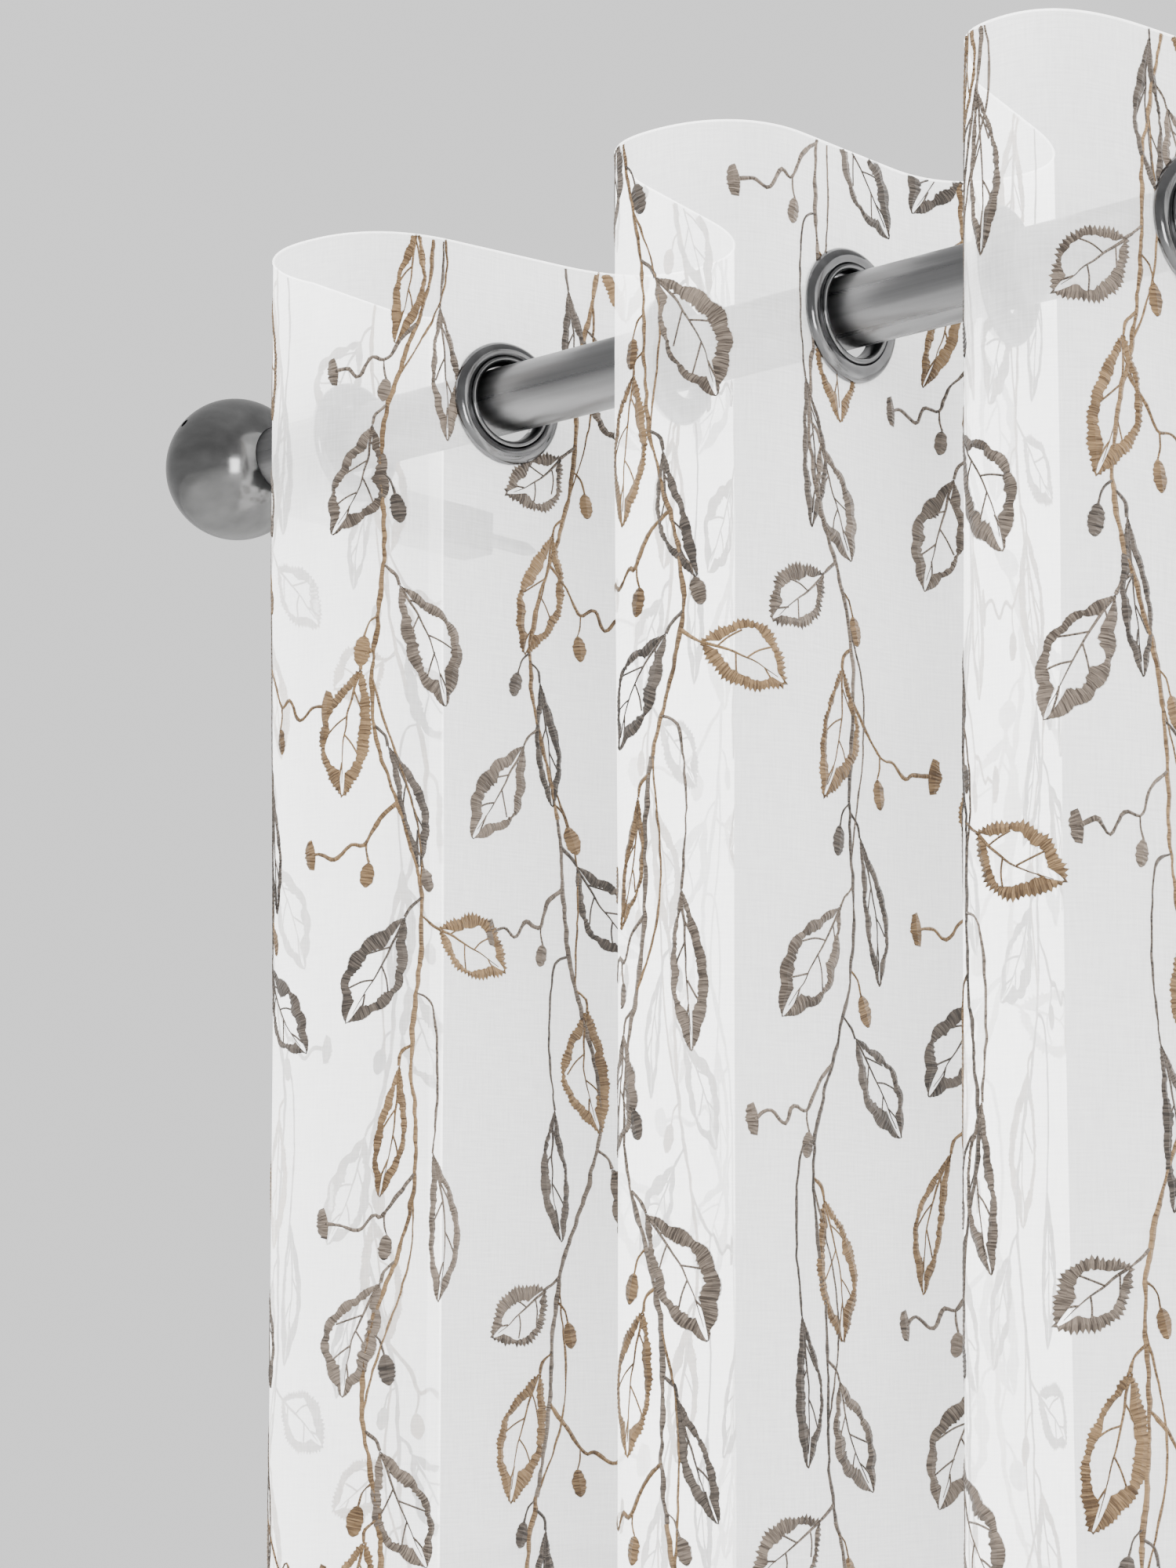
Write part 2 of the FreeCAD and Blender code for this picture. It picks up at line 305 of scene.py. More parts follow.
class Nodes:
    """The node tree of a material or of the world, with short calls to fill it."""

    def __init__(self, owner, output="ShaderNodeOutputMaterial"):
        self.owner = owner
        owner.use_nodes = True
        self.tree = owner.node_tree
        self.tree.nodes.clear()
        self.output = self.add(output)

    def add(self, kind, values=None, **settings):
        """A new node with its settings, and with the inputs that hold fixed values."""
        node = self.tree.nodes.new(kind)
        for key, value in settings.items():
            setattr(node, key, value)
        for key, value in (values or {}).items():
            node.inputs[key].default_value = value
        return node

    def link(self, source, target):
        self.tree.links.new(source, target)

    def scaled(self, vector, scale):
        """A vector times a scale along each axis."""
        mapping = self.add("ShaderNodeMapping", {"Scale": scale})
        self.link(vector, mapping.inputs["Vector"])
        return mapping.outputs["Vector"]

    def coordinates(self, scale):
        """Object coordinates, scaled."""
        return self.scaled(self.add("ShaderNodeTexCoord").outputs["Object"], scale)

    def cloth_coordinates(self, scale):
        """The piece's own cloth coordinates, in metres, scaled."""
        source = self.add("ShaderNodeAttribute", attribute_name="cloth")
        return self.scaled(source.outputs["Vector"], scale)

    def noise(self, vector, detail):
        node = self.add("ShaderNodeTexNoise", {"Scale": 1.0, "Detail": detail})
        self.link(vector, node.inputs["Vector"])
        return node.outputs["Fac"]

    def weighed(self, first, share, second, rest):
        """The sum of two values, each times its own share."""
        part = self.add("ShaderNodeMath", {1: rest}, operation="MULTIPLY")
        whole = self.add("ShaderNodeMath", {1: share}, operation="MULTIPLY_ADD")
        self.link(second, part.inputs[0])
        self.link(first, whole.inputs[0])
        self.link(part.outputs[0], whole.inputs[2])
        return whole.outputs[0]

    def spread(self, value, low, high):
        """A noise's values spread between two numbers."""
        limits = {"From Min": NOISE_LOW, "From Max": NOISE_HIGH, "To Min": low, "To Max": high}
        node = self.add("ShaderNodeMapRange", limits)
        self.link(value, node.inputs["Value"])
        return node.outputs["Result"]

    def ramp(self, value, dark, light, low=NOISE_LOW, high=NOISE_HIGH):
        """Colours from dark to light as a value goes from low to high."""
        node = self.add("ShaderNodeValToRGB")
        node.color_ramp.elements[0].position = low
        node.color_ramp.elements[0].color = (*dark, 1)
        node.color_ramp.elements[1].position = high
        node.color_ramp.elements[1].color = (*light, 1)
        self.link(value, node.inputs["Fac"])
        return node.outputs["Color"]

    def bump(self, height, distance, strength):
        node = self.add("ShaderNodeBump", {"Distance": distance, "Strength": strength})
        self.link(height, node.inputs["Height"])
        return node.outputs["Normal"]

    def mix(self, share, first, second):
        """Two shaders as one: share of the second, and the rest of the first."""
        node = self.add("ShaderNodeMixShader")
        if isinstance(share, float):
            node.inputs["Fac"].default_value = share
        else:
            self.link(share, node.inputs["Fac"])
        self.link(first, node.inputs[1])
        self.link(second, node.inputs[2])
        return node.outputs[0]

    def show(self, shader):
        """Shows a shader on the surface, and gives back the material or the world."""
        self.link(shader, self.output.inputs["Surface"])
        return self.owner


STEEL_BUMP = 0.1 * MM
STEEL_CLOUDS = (9, 9, 9)  # large soft changes of tone, per metre


def steel(name, dark, light, rough, grain):
    """Drawn or spun steel: fine streaks in colour and roughness, and a faint bump along the grain."""
    n = Nodes(bpy.data.materials.new(name))
    shader = n.add("ShaderNodeBsdfPrincipled", {"Metallic": 1.0})
    streaks = n.noise(n.coordinates(grain), 4.0)
    clouds = n.noise(n.coordinates(STEEL_CLOUDS), 2.0)
    tone = n.weighed(streaks, 0.7, clouds, 0.3)
    n.link(n.ramp(tone, dark, light), shader.inputs["Base Color"])
    n.link(n.spread(streaks, *rough), shader.inputs["Roughness"])
    n.link(n.bump(streaks, STEEL_BUMP, 0.5), shader.inputs["Normal"])
    return n.show(shader.outputs[0])


VOILE_DARK, VOILE_LIGHT = (0.86, 0.86, 0.855), (0.95, 0.95, 0.945)
VOILE_GLOW = (0.93, 0.93, 0.925, 1)  # colour of the light that comes through the threads
VOILE_GLOW_SHARE = 0.42
VOILE_COVER = (0.28, 0.35)  # share of the cloth that is thread, where it is thin and where it is thick
VOILE_BUMP = 0.4 * MM
VOILE_THREADS, VOILE_SLUBS = 900, 60  # per metre, across a thread and along it


def voile():
    """Sheer white voile: thread covers about a third of it, and what is behind shows through the rest."""
    n = Nodes(bpy.data.materials.new("sheer_voile"))
    warp = n.noise(n.cloth_coordinates((VOILE_THREADS, VOILE_SLUBS, 1)), 2.0)
    weft = n.noise(n.cloth_coordinates((VOILE_SLUBS, VOILE_THREADS, 1)), 2.0)
    weave = n.weighed(warp, 0.5, weft, 0.5)
    values = {"Roughness": 0.75, "Sheen Weight": 0.25, "Sheen Roughness": 0.4, "Specular IOR Level": 0.25}
    shader = n.add("ShaderNodeBsdfPrincipled", values)
    n.link(n.ramp(weave, VOILE_DARK, VOILE_LIGHT), shader.inputs["Base Color"])
    n.link(n.bump(weave, VOILE_BUMP, 0.4), shader.inputs["Normal"])
    glow = n.add("ShaderNodeBsdfTranslucent", {"Color": VOILE_GLOW})
    lit = n.mix(VOILE_GLOW_SHARE, shader.outputs[0], glow.outputs[0])
    clear = n.add("ShaderNodeBsdfTransparent")
    return n.show(n.mix(n.spread(weave, *VOILE_COVER), clear.outputs[0], lit))


STITCH_BUMP = 0.5 * MM
STITCHES = (90, 90, 1500)  # per metre: one stitch about every 1.3 mm along the ribbon, and not quite regular
THREAD_DRIFT = (25, 25, 4)  # per metre: slow changes of tone from stitch to stitch
# ramp range for the stitches' light and dark: partly thread tone, partly painted shade between stitches
THREAD_TONE_AND_SHADE_RANGE = (0.39, 0.61)


def thread(name, dark, light):
    """Satin-stitched thread: stitches lighter and darker across the ribbon, partly the thread's own tone and
    partly painted shade between the stitch ridges, with a soft shine.
    """
    n = Nodes(bpy.data.materials.new(name))
    values = {"Sheen Weight": 0.06, "Specular IOR Level": 0.2, "Roughness": 0.5}
    shader = n.add("ShaderNodeBsdfPrincipled", values)
    stitches = n.noise(n.cloth_coordinates(STITCHES), 1.0)
    drift = n.noise(n.cloth_coordinates(THREAD_DRIFT), 2.0)
    tone = n.weighed(stitches, 0.62, drift, 0.38)
    # painted shade: the darker stitches also stand in for the shade in the grooves between stitch ridges
    n.link(n.ramp(tone, dark, light, *THREAD_TONE_AND_SHADE_RANGE), shader.inputs["Base Color"])
    n.link(n.bump(stitches, STITCH_BUMP, 0.8), shader.inputs["Normal"])
    return n.show(shader.outputs[0])


POLE_DARK, POLE_LIGHT = (0.145, 0.145, 0.147), (0.215, 0.215, 0.218)
BALL_DARK, BALL_LIGHT = (0.12, 0.12, 0.12), (0.18, 0.18, 0.18)
RING_DARK, RING_LIGHT = (0.10, 0.10, 0.102), (0.17, 0.17, 0.173)
SCREW_DARK, SCREW_LIGHT = (0.11, 0.11, 0.11), (0.22, 0.22, 0.22)
# after the tones: the least and the most rough, and the grain per metre along x, y and z
POLE_STEEL = steel("pole_steel", POLE_DARK, POLE_LIGHT, (0.26, 0.36), (3, 260, 260))
BAR_STEEL = steel("bar_steel", POLE_DARK, POLE_LIGHT, (0.26, 0.38), (260, 3, 260))
BALL_STEEL = steel("ball_steel", BALL_DARK, BALL_LIGHT, (0.14, 0.22), (40, 120, 120))
RING_STEEL = steel("ring_steel", RING_DARK, RING_LIGHT, (0.10, 0.20), (90, 90, 90))
SCREW_STEEL = steel("screw_steel", SCREW_DARK, SCREW_LIGHT, (0.30, 0.45), (300, 300, 300))
VOILE = voile()
THREADS = {
    "gold": thread("embroidery_gold", (0.024, 0.013, 0.005), (0.094, 0.059, 0.028)),
    "taupe": thread("embroidery_taupe", (0.015, 0.011, 0.008), (0.074, 0.058, 0.045)),
    "grey": thread("embroidery_grey", (0.009, 0.007, 0.0055), (0.046, 0.037, 0.030)),
}


def set_cloth_attribute(piece, across, depth, run=0.0):
    """Stores cloth coordinates on the points, and the length along the thread, for weave and stitches."""
    values = np.stack([across, depth, np.broadcast_to(run, len(across))], 1)
    attribute = piece.data.attributes.new("cloth", "FLOAT_VECTOR", "POINT")
    attribute.data.foreach_set("vector", values.astype(np.float32).ravel())


# ---------------------------------------------------------------- cloth strips


class Patches:
    """Grids of cloth points that become one mesh."""

    def __init__(self):
        self.points, self.normals, self.coords, self.quads = [], [], [], []
        self.count = 0

    def add(self, points, normals, across, depth, keep=None, flip=False):
        """A grid of quads; keep says which of them stay."""
        rows, cols = across.shape
        grid = np.arange(rows * cols).reshape(rows, cols) + self.count
        quad = np.stack([grid[:-1, :-1], grid[1:, :-1], grid[1:, 1:], grid[:-1, 1:]], 2).reshape(-1, 4)
        if keep is not None:
            quad = quad[keep.ravel()]
        self.quads.append(quad[:, ::-1] if flip else quad)
        self.points.append(points.reshape(-1, 3))
        self.normals.append(normals.reshape(-1, 3))
        self.coords.append(np.stack([across.ravel(), depth.ravel()], 1))
        self.count += rows * cols

    def piece(self, name, material):
        quads = np.concatenate(self.quads)
        used = np.unique(quads)
        renumber = np.full(self.count, -1)
        renumber[used] = np.arange(len(used))
        points = np.concatenate(self.points)[used]
        piece = new_piece(name, points.tolist(), renumber[quads].tolist(), material)
        coords = np.concatenate(self.coords)[used]
        set_cloth_attribute(piece, coords[:, 0], coords[:, 1])
        piece.data.normals_split_custom_set_from_vertices(np.concatenate(self.normals)[used].tolist())
        return piece


def cut_hole(across, depth, keep, hole):
    """Takes the cells inside an eyelet's hole away, and draws the cut edge on to its circle."""
    reach_across = across - hole
    reach_down = depth - RING_DEPTH
    away = np.hypot(reach_across, reach_down)
    keep = keep & ((away[:-1, :-1] + away[1:, :-1] + away[:-1, 1:] + away[1:, 1:]) / 4 > HOLE_RADIUS)
    stays = np.zeros(away.shape, bool)
    goes = np.zeros(away.shape, bool)
    for grid, cells in ((stays, keep), (goes, ~keep)):
        grid[:-1, :-1] |= cells
        grid[1:, :-1] |= cells
        grid[:-1, 1:] |= cells
        grid[1:, 1:] |= cells
    edge = stays & goes & (away < HOLE_RADIUS + 2 * FINE_ROW)
    scale = np.where(edge, HOLE_RADIUS / np.maximum(away, 1e-6), 1.0)
    across = np.where(edge, hole + reach_across * scale, across)
    depth = np.where(edge, RING_DEPTH + reach_down * scale, depth)
    return across, depth, keep


def add_roll(patches, line, normals, outwards, across, depth, flip):
    """A narrow rolled edge along a line of cloth points, just inside it."""
    turns = np.linspace(0.0, 2 * math.pi, ROLL_SIDES + 1)
    around = []
    for turn in turns:
        around.append(normals * math.cos(turn) + outwards * math.sin(turn))
    around = np.stack(around, 1)
    centre = (line - outwards * ROLL_RADIUS)[:, None, :]
    shape = (len(line), len(turns))
    spread = (turns - math.pi) * ROLL_RADIUS
    patches.add(
        centre + around * ROLL_RADIUS,
        around,
        np.broadcast_to(across[:, None], shape) + spread,
        np.broadcast_to(depth[:, None], shape) + spread,
        flip=flip,
    )


def unit(vectors):
    return vectors / np.linalg.norm(vectors, axis=-1, keepdims=True)


def strip_piece(panel, name, index):
    """One strip of cloth with half holes for its eyelets, a turned-up bottom hem and rolled edges."""
    c0, c1 = panel.borders[index], panel.borders[index + 1]
    cols = np.arange(c0, c1 + 1)
    mirrored = panel.inward < 0
    across = np.repeat(panel.across[cols][None, :], len(panel.depth), 0)
    depth = np.repeat(panel.depth[:, None], len(cols), 1)
    keep = np.ones((len(panel.depth) - 1, len(cols) - 1), bool)
    for hole in panel.border_across[[index, index + 1]]:
        if 0.0 < hole < panel.width:
            across, depth, keep = cut_hole(across, depth, keep, hole)
    points, normals = panel.at(across.ravel(), depth.ravel())
    shape = (*across.shape, 3)
    patches = Patches()
    patches.add(points.reshape(shape), normals.reshape(shape), across, depth, keep, mirrored)
    # the bottom hem: the cloth turned up behind itself
    rows = np.flatnonzero(panel.depth > CLOTH_DROP - HEM_DEPTH)[::-1]
    sheet = panel.points[np.ix_(rows, cols)]
    facing = panel.normals[np.ix_(rows, cols)]
    behind = sheet - facing * HEM_OFFSET
    behind = np.concatenate([sheet[:1], behind])
    hem_across = np.repeat(panel.across[cols][None, :], len(behind), 0)
    turned_up = np.concatenate([[CLOTH_DROP], 2 * CLOTH_DROP - panel.depth[rows]])
    hem_depth = np.repeat(turned_up[:, None], len(cols), 1)
    patches.add(behind, np.concatenate([-facing[:1], -facing]), hem_across, hem_depth, flip=mirrored)
    # the rolled top edge
    top, top_normals = panel.points[0, cols], panel.normals[0, cols]
    up = unit(panel.points[0, cols] - panel.points[1, cols])
    add_roll(patches, top, top_normals, up, panel.across[cols], np.zeros(len(cols)), mirrored)
    # the panel's two side edges: a narrow hem turned behind, and a rolled edge
    flat_width = panel.border_across[index + 1] - panel.border_across[index]
    for edge, step in ((0, 1), (len(panel.across) - 1, -1)):
        if edge not in (c0, c1):
            continue
        line, line_normals = panel.points[:, edge], panel.normals[:, edge]
        outwards = unit(line - panel.points[:, edge + step])
        sides = np.full(len(line), panel.across[edge])
        add_roll(patches, line, line_normals, outwards, sides, panel.depth, mirrored == (step < 0))
        hem = edge + step * np.arange(SIDE_HEM_CELLS + 1)
        hem = hem[::step]
        flat_width += panel.across[hem[-1]] - panel.across[hem[0]]
        folded = panel.points[:, hem] - panel.normals[:, hem] * HEM_OFFSET
        hem_across = np.repeat(panel.across[hem][None, :], len(panel.depth), 0)
        hem_depth = np.repeat(panel.depth[:, None], len(hem), 1)
        patches.add(folded, -panel.normals[:, hem], hem_across, hem_depth, flip=not mirrored)
    return patches.piece(f"voile_{panel.side}_{name}", VOILE), (flat_width, CLOTH_DROP + HEM_DEPTH)


def carry(piece, bodies):
    """Rides on one eyelet; a piece between two eyelets is only baked in place."""
    if len(bodies) == 1:
        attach(piece, bodies[0])
        return
    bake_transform(piece)


# ---------------------------------------------------------------- embroidery, drawn flat

THREAD_BACK = -0.06 * MM  # a thread's flat back lies this far under the cloth's face


class Stitching:
    """Collects raised ribbons of thread: across, down, height, and length along the ribbon, in metres."""

    def __init__(self):
        self.points = {c: [] for c in THREADS}
        self.faces = {c: [] for c in THREADS}
        self.count = {c: 0 for c in THREADS}

    def ribbon(self, colour, line, left, right, height):
        """A ribbon with a ridge along its middle and a flat back just under the cloth's face."""
        line = np.asarray(line, float)
        n = len(line)
        tangent = np.gradient(line, axis=0)
        tangent /= np.maximum(np.linalg.norm(tangent, axis=1, keepdims=True), 1e-9)
        normal = np.stack([-tangent[:, 1], tangent[:, 0]], 1)
        left = np.broadcast_to(left, n)
        right = np.broadcast_to(right, n)
        height = np.broadcast_to(height, n)
        run = np.concatenate([[0.0], np.cumsum(np.linalg.norm(np.diff(line, axis=0), axis=1))])
        back = np.full(n, THREAD_BACK)
        a = np.column_stack([line + normal * left[:, None], back, run])
        b = np.column_stack([line + normal * ((left - right) / 2)[:, None], height, run])
        c = np.column_stack([line - normal * right[:, None], back, run])
        base = self.count[colour]
        ia = base + np.arange(n) * 3
        ring = np.stack([a, b, c], 1).reshape(-1, 4)
        quads = []
        for p, q in ((0, 1), (1, 2), (2, 0)):
            quads.append(np.stack([ia[:-1] + p, ia[:-1] + q, ia[1:] + q, ia[1:] + p], 1))
        self.points[colour].append(ring)
        self.faces[colour].append(np.concatenate(quads))
        self.count[colour] += 3 * n


def along_line(points, step):
    """A smooth line through a few points, sampled evenly."""
    points = np.asarray(points, float)
    n = len(points)
    if n > 2:
        t = np.arange(n)
        fine = np.linspace(0, n - 1, 20 * n)
        k = np.clip(fine.astype(int), 0, n - 2)
        f = (fine - k)[:, None]
        before = points[np.maximum(k - 1, 0)]
        after = points[np.minimum(k + 2, n - 1)]
        m0 = (points[k + 1] - before) / 2
        m1 = (after - points[k]) / 2
        h00 = 2 * f**3 - 3 * f**2 + 1
        h10 = f**3 - 2 * f**2 + f
        h01 = -2 * f**3 + 3 * f**2
        h11 = f**3 - f**2
        points = h00 * points[k] + h10 * m0 + h01 * points[k + 1] + h11 * m1
    length = np.linalg.norm(np.diff(points, axis=0), axis=1).sum()
    return evenly(points, max(2, round(length / step)))[0]


STEM_STEP = 2.0 * MM
EDGE_STEP = 1.15 * MM
VEIN_STEP = 2.2 * MM
DOWN = np.array([0.0, 1.0])
ROUND = 6.28  # about a full turn, for random phases


def turned(angle):
    """Unit vector in cloth coordinates: 0 is straight down, positive leans inwards."""
    return np.array([math.sin(angle), math.cos(angle)])


def heights(count, low, step):
    """Heights in metres of stitches that lie low and high in turn, from millimetres."""
    return (low + step * (np.arange(count) % 2)) * MM


def wander(count, rng, spacing):
    """Smooth random numbers between -1 and 1, with a knot every few points."""
    knots = rng.uniform(-1.0, 1.0, max(3, count // spacing + 2))
    t = np.linspace(0.0, len(knots) - 1.001, count)
    k = t.astype(int)
    f = t - k
    f = f * f * (3 - 2 * f)
    return knots[k] * (1 - f) + knots[k + 1] * f


def stem(stitching, colour, points, width, rng):
    """A corded stem: a little crooked, and uneven in width."""
    line = along_line(points, STEM_STEP)
    n = len(line)
    body = np.minimum(1.0, np.minimum(np.arange(n), np.arange(n)[::-1]) / 3.0)
    line[:, 0] += 0.22 * width * wander(n, rng, 3) * body
    left = width / 2 * (1.0 + 0.45 * wander(n, rng, 4) + 0.16 * rng.uniform(-1, 1, n))
    right = width / 2 * (1.0 + 0.45 * wander(n, rng, 5) + 0.16 * rng.uniform(-1, 1, n))
    stitching.ribbon(colour, line, left, right, heights(n, 0.55, 0.12))
    return line


class LeafKind:
    """A family of leaves: its outline, and how its border is stitched."""

    def __init__(self, ratio, belly, band, waves, wave, fringe, tip, veins):
        self.ratio = ratio  # width over length
        self.belly = belly  # above 1 the widest place moves towards the tip
        self.band = band  # border width
        self.waves = waves  # lobes along each side
        self.wave = wave  # how deep they are
        self.fringe = fringe  # loose stitch ends outside
        self.tip = tip  # extra border width at the tip
        self.veins = veins


VEIN_START, VEIN_SPAN, VEIN_RISE = 0.16, 0.56, 0.17  # along the leaf: first root, range of roots, root to end
VEIN_WIDTH, VEIN_HEIGHT = 0.55 * MM, 0.42 * MM
RIB_WIDTH, RIB_HEIGHT = 0.85 * MM, 0.5 * MM
LEAF_ROUNDNESS = 0.78  # below 1 a leaf is fuller between its middle and its ends
SIDE_POINTS = 70
LEAVES = {
    "scalloped": LeafKind(0.50, 1.12, 7.4 * MM, 5, 1.1 * MM, 0.35 * MM, 0.9, 5),
    "serrated": LeafKind(0.42, 1.08, 6.0 * MM, 6, 0.6 * MM, 1.3 * MM, 1.3, 4),
    "feathered": LeafKind(0.70, 1.00, 5.6 * MM, 4, 0.7 * MM, 2.3 * MM, 0.4, 4),
    "narrow": LeafKind(0.25, 1.18, 4.6 * MM, 6, 0.5 * MM, 0.4 * MM, 1.6, 4),
}


def leaf(stitching, colour, base, angle, length, kind, rng):
    """A leaf with a satin-stitched border, an open middle and thin veins. Its tip points along angle."""
    k = LEAVES[kind]
    way = turned(angle)
    side = np.array([way[1], -way[0]])
    bend = rng.uniform(-0.09, 0.09) * length
    fuller = rng.uniform(-0.12, 0.12)

    def spine(t):
        return base + way * (t * length)[:, None] + side * (bend * np.sin(math.pi * t))[:, None]

    def half_width(t):
        return k.ratio * length / 2 * np.sin(math.pi * np.clip(t, 0, 1) ** k.belly) ** LEAF_ROUNDNESS

    t = np.concatenate([np.linspace(0, 1, SIDE_POINTS), np.linspace(1, 0, SIDE_POINTS)[1:]])
    sign = np.concatenate([np.ones(SIDE_POINTS), -np.ones(SIDE_POINTS - 1)])
    outline = spine(t) + side * (half_width(t) * (sign + fuller))[:, None]
    run = np.concatenate([[0], np.cumsum(np.linalg.norm(np.diff(outline, axis=0), axis=1))])
    n = max(30, round(run[-1] / EDGE_STEP))
    wanted = np.linspace(0, run[-1], n)
    line = np.stack([np.interp(wanted, run, outline[:, j]) for j in range(2)], 1)
    tt = np.interp(wanted, run, t)
    share = wanted / run[-1]
    room = half_width(tt)
    lobes = 1.0 - np.abs(np.sin(math.pi * k.waves * share * 2 + 0.4 * wander(n, rng, 12)))
    outer = -1.6 * k.wave * lobes * np.clip(room / (4 * MM), 0, 1)
    outer += k.fringe * (0.15 + 0.85 * (np.arange(n) % 2)) * rng.uniform(0.5, 1.1, n)
    tip = np.clip((tt - 0.72) / 0.28, 0, 1) ** 1.5
    inner = k.band * (0.82 + 0.34 * wander(n, rng, 9) + 0.10 * rng.uniform(-1, 1, n) + k.tip * tip)
    inner *= 1.0 + 0.22 * np.sin(2 * math.pi * share + ROUND * rng.random())
    inner = np.minimum(inner, np.maximum(room * 0.96, 0.6 * MM))
    # the outline runs down one side and up the other, so one side of it is always the inside
    stitching.ribbon(colour, line, inner, outer, heights(n, 0.62, 0.2))
    rib_t = np.linspace(0.02, 0.90, max(8, round(length / (3 * MM))))
    rib = spine(rib_t) + side * (0.5 * MM * wander(len(rib_t), rng, 3))[:, None]
    taper = RIB_WIDTH * (1.1 - rib_t)
    stitching.ribbon(colour, rib, taper, taper, RIB_HEIGHT)
    for j in range(k.veins):
        at = VEIN_START + VEIN_SPAN * j / max(k.veins - 1, 1) + rng.uniform(-0.03, 0.03)
        lean = 1.0 if j % 2 == 0 else -1.0
        root = spine(np.array([at]))[0]
        reach = max(half_width(np.array([at + VEIN_RISE]))[0] - k.band * 0.55, 1.2 * MM)
        end = spine(np.array([at + VEIN_RISE + rng.uniform(-0.03, 0.03)]))[0] + side * lean * reach
        bow = (root + end) / 2 + way * rng.uniform(-1.6, 0.4) * MM
        vein = along_line([root, bow, end], VEIN_STEP)
        stitching.ribbon(colour, vein, VEIN_WIDTH, VEIN_WIDTH, VEIN_HEIGHT)


def bud(stitching, colour, base, angle, length, rng):
    """A small oval filled with slanting stitches."""
    way = turned(angle)
    n = max(11, round(length / (1.0 * MM)))
    t = np.linspace(0, 1, n)
    line = base + way * (t * length)[:, None]
    wide = 0.30 * length * np.sqrt(np.clip(1 - (2 * t - 1) ** 2, 0.03, 1))
    left = wide * rng.uniform(0.88, 1.12, n)
    right = wide * rng.uniform(0.88, 1.12, n)
    stitching.ribbon(colour, line, left, right, heights(n, 0.55, 0.4))


CAP_FOOT = 0.7 * MM  # how far a half-moon bud's flat side reaches back from its line


def cap(stitching, colour, base, angle, width, rng):
    """A half-moon bud that sits square across the end of its stalk."""
    way = turned(angle)
    side = np.array([way[1], -way[0]])
    n = max(14, round(width / (0.9 * MM)))
    t = np.linspace(0, 1, n)
    line = base + side * ((t - 0.5) * width)[:, None] - way * (0.10 * width * np.sin(math.pi * t))[:, None]
    dome = 0.40 * width * np.sin(math.pi * np.clip(t, 0.04, 0.96)) ** 0.35 * rng.uniform(0.88, 1.12, n)
    stitching.ribbon(colour, line, dome, CAP_FOOT, heights(n, 0.6, 0.3))


TWIG_WIDTH = 2.2 * MM
HANG_WIDTH = 1.2 * MM
# the way of a twig from its root, as shares of its size: outwards and down
TWIG_WAY = ((0.20, 0.20), (0.36, 0.46), (0.50, 0.44), (0.66, 0.62), (0.82, 0.52), (1.0, 0.56))


def twig(stitching, colour, start, lean, size, rng):
    """A crooked twig that ends in a half-moon bud, with a small hanging bud on the way."""
    out = np.array([lean, 0.0])
    points = [start]
    for reach, drop in TWIG_WAY:
        jog = rng.uniform(-0.04, 0.04, 2)
        points.append(start + out * (reach + jog[0]) * size + DOWN * (drop + jog[1]) * size)
    line = stem(stitching, colour, points, TWIG_WIDTH, rng)
    cap(stitching, colour, line[-1], lean * 1.45, 0.33 * size, rng)
    root = line[int(len(line) * 0.42)]
    hang = [root, root + DOWN * 0.12 * size, root + DOWN * 0.22 * size - out * 0.03 * size]
    stem(stitching, colour, hang, HANG_WIDTH, rng)
    bud(stitching, colour, hang[-1], lean * 0.15, 0.27 * size, rng)


VINE_SPACING = 101 * MM
REPEAT = 440 * MM
# what hangs on a vine over one repeat: share of the repeat, side, what it is, colour, size in millimetres,
# lean in degrees
VINE_A = (
    (0.03, 1, "scalloped", "taupe", 66, 26),
    (0.09, -1, "bud", "gold", 15, 10),
    (0.13, -1, "serrated", "gold", 68, 8),
    (0.22, 1, "narrow", "grey", 62, 16),
    (0.31, -1, "twig", "gold", 50, 0),
    (0.36, 1, "bud", "taupe", 13, 14),
    (0.42, -1, "scalloped", "grey", 60, 30),
    (0.44, 1, "feathered", "gold", 44, 62),
    (0.53, 1, "long", "taupe", 74, 5),
    (0.59, -1, "narrow", "gold", 66, 10),
    (0.74, -1, "twig", "taupe", 46, 0),
    (0.84, -1, "scalloped", "taupe", 62, 20),
    (0.92, 1, "bud", "grey", 15, 14),
)
VINE_B = (
    (0.05, -1, "serrated", "gold", 64, 15),
    (0.11, 1, "twig", "gold", 52, 0),
    (0.22, -1, "bud", "grey", 14, 12),
    (0.23, 1, "narrow", "grey", 68, 9),
    (0.31, -1, "scalloped", "taupe", 64, 32),
    (0.40, 1, "bud", "gold", 15, 22),
    (0.45, 1, "scalloped", "grey", 58, 38),
    (0.50, -1, "twig", "taupe", 46, 0),
    (0.58, -1, "long", "grey", 72, -4),
    (0.62, 1, "serrated", "gold", 68, 9),
    (0.81, 1, "scalloped", "taupe", 58, 24),
    (0.96, -1, "feathered", "taupe", 42, 54),
    (0.99, 1, "bud", "gold", 14, 12),
)


VINE_OVERRUN = 30 * MM  # a vine starts above the cloth and ends below it, and is cut at the edges
LEAF_OVERRUN = 80 * MM  # the first repeat of leaves starts at least this far above the cloth
VINE_SWAY = (13, 18)  # millimetres, drawn for each vine
VINE_WIDTH = (2.4, 3.1)  # millimetres, drawn for each stretch
VINE_MARK = 22 * MM  # distance between the points that draw a vine
VINE_STRETCHES = 4  # a vine can change colour from one to the next
SHOOT_MARKS = 6  # a shoot spans this many marks
SHOOT_EVERY = 12  # marks from one shoot to the next
SHOOT_BOW = 9 * MM
SHOOT_WIDTH = 1.4 * MM
LEAF_STALK = 1.9 * MM
LONG_STALK = 1.5 * MM
BUD_STALK = 1.3 * MM


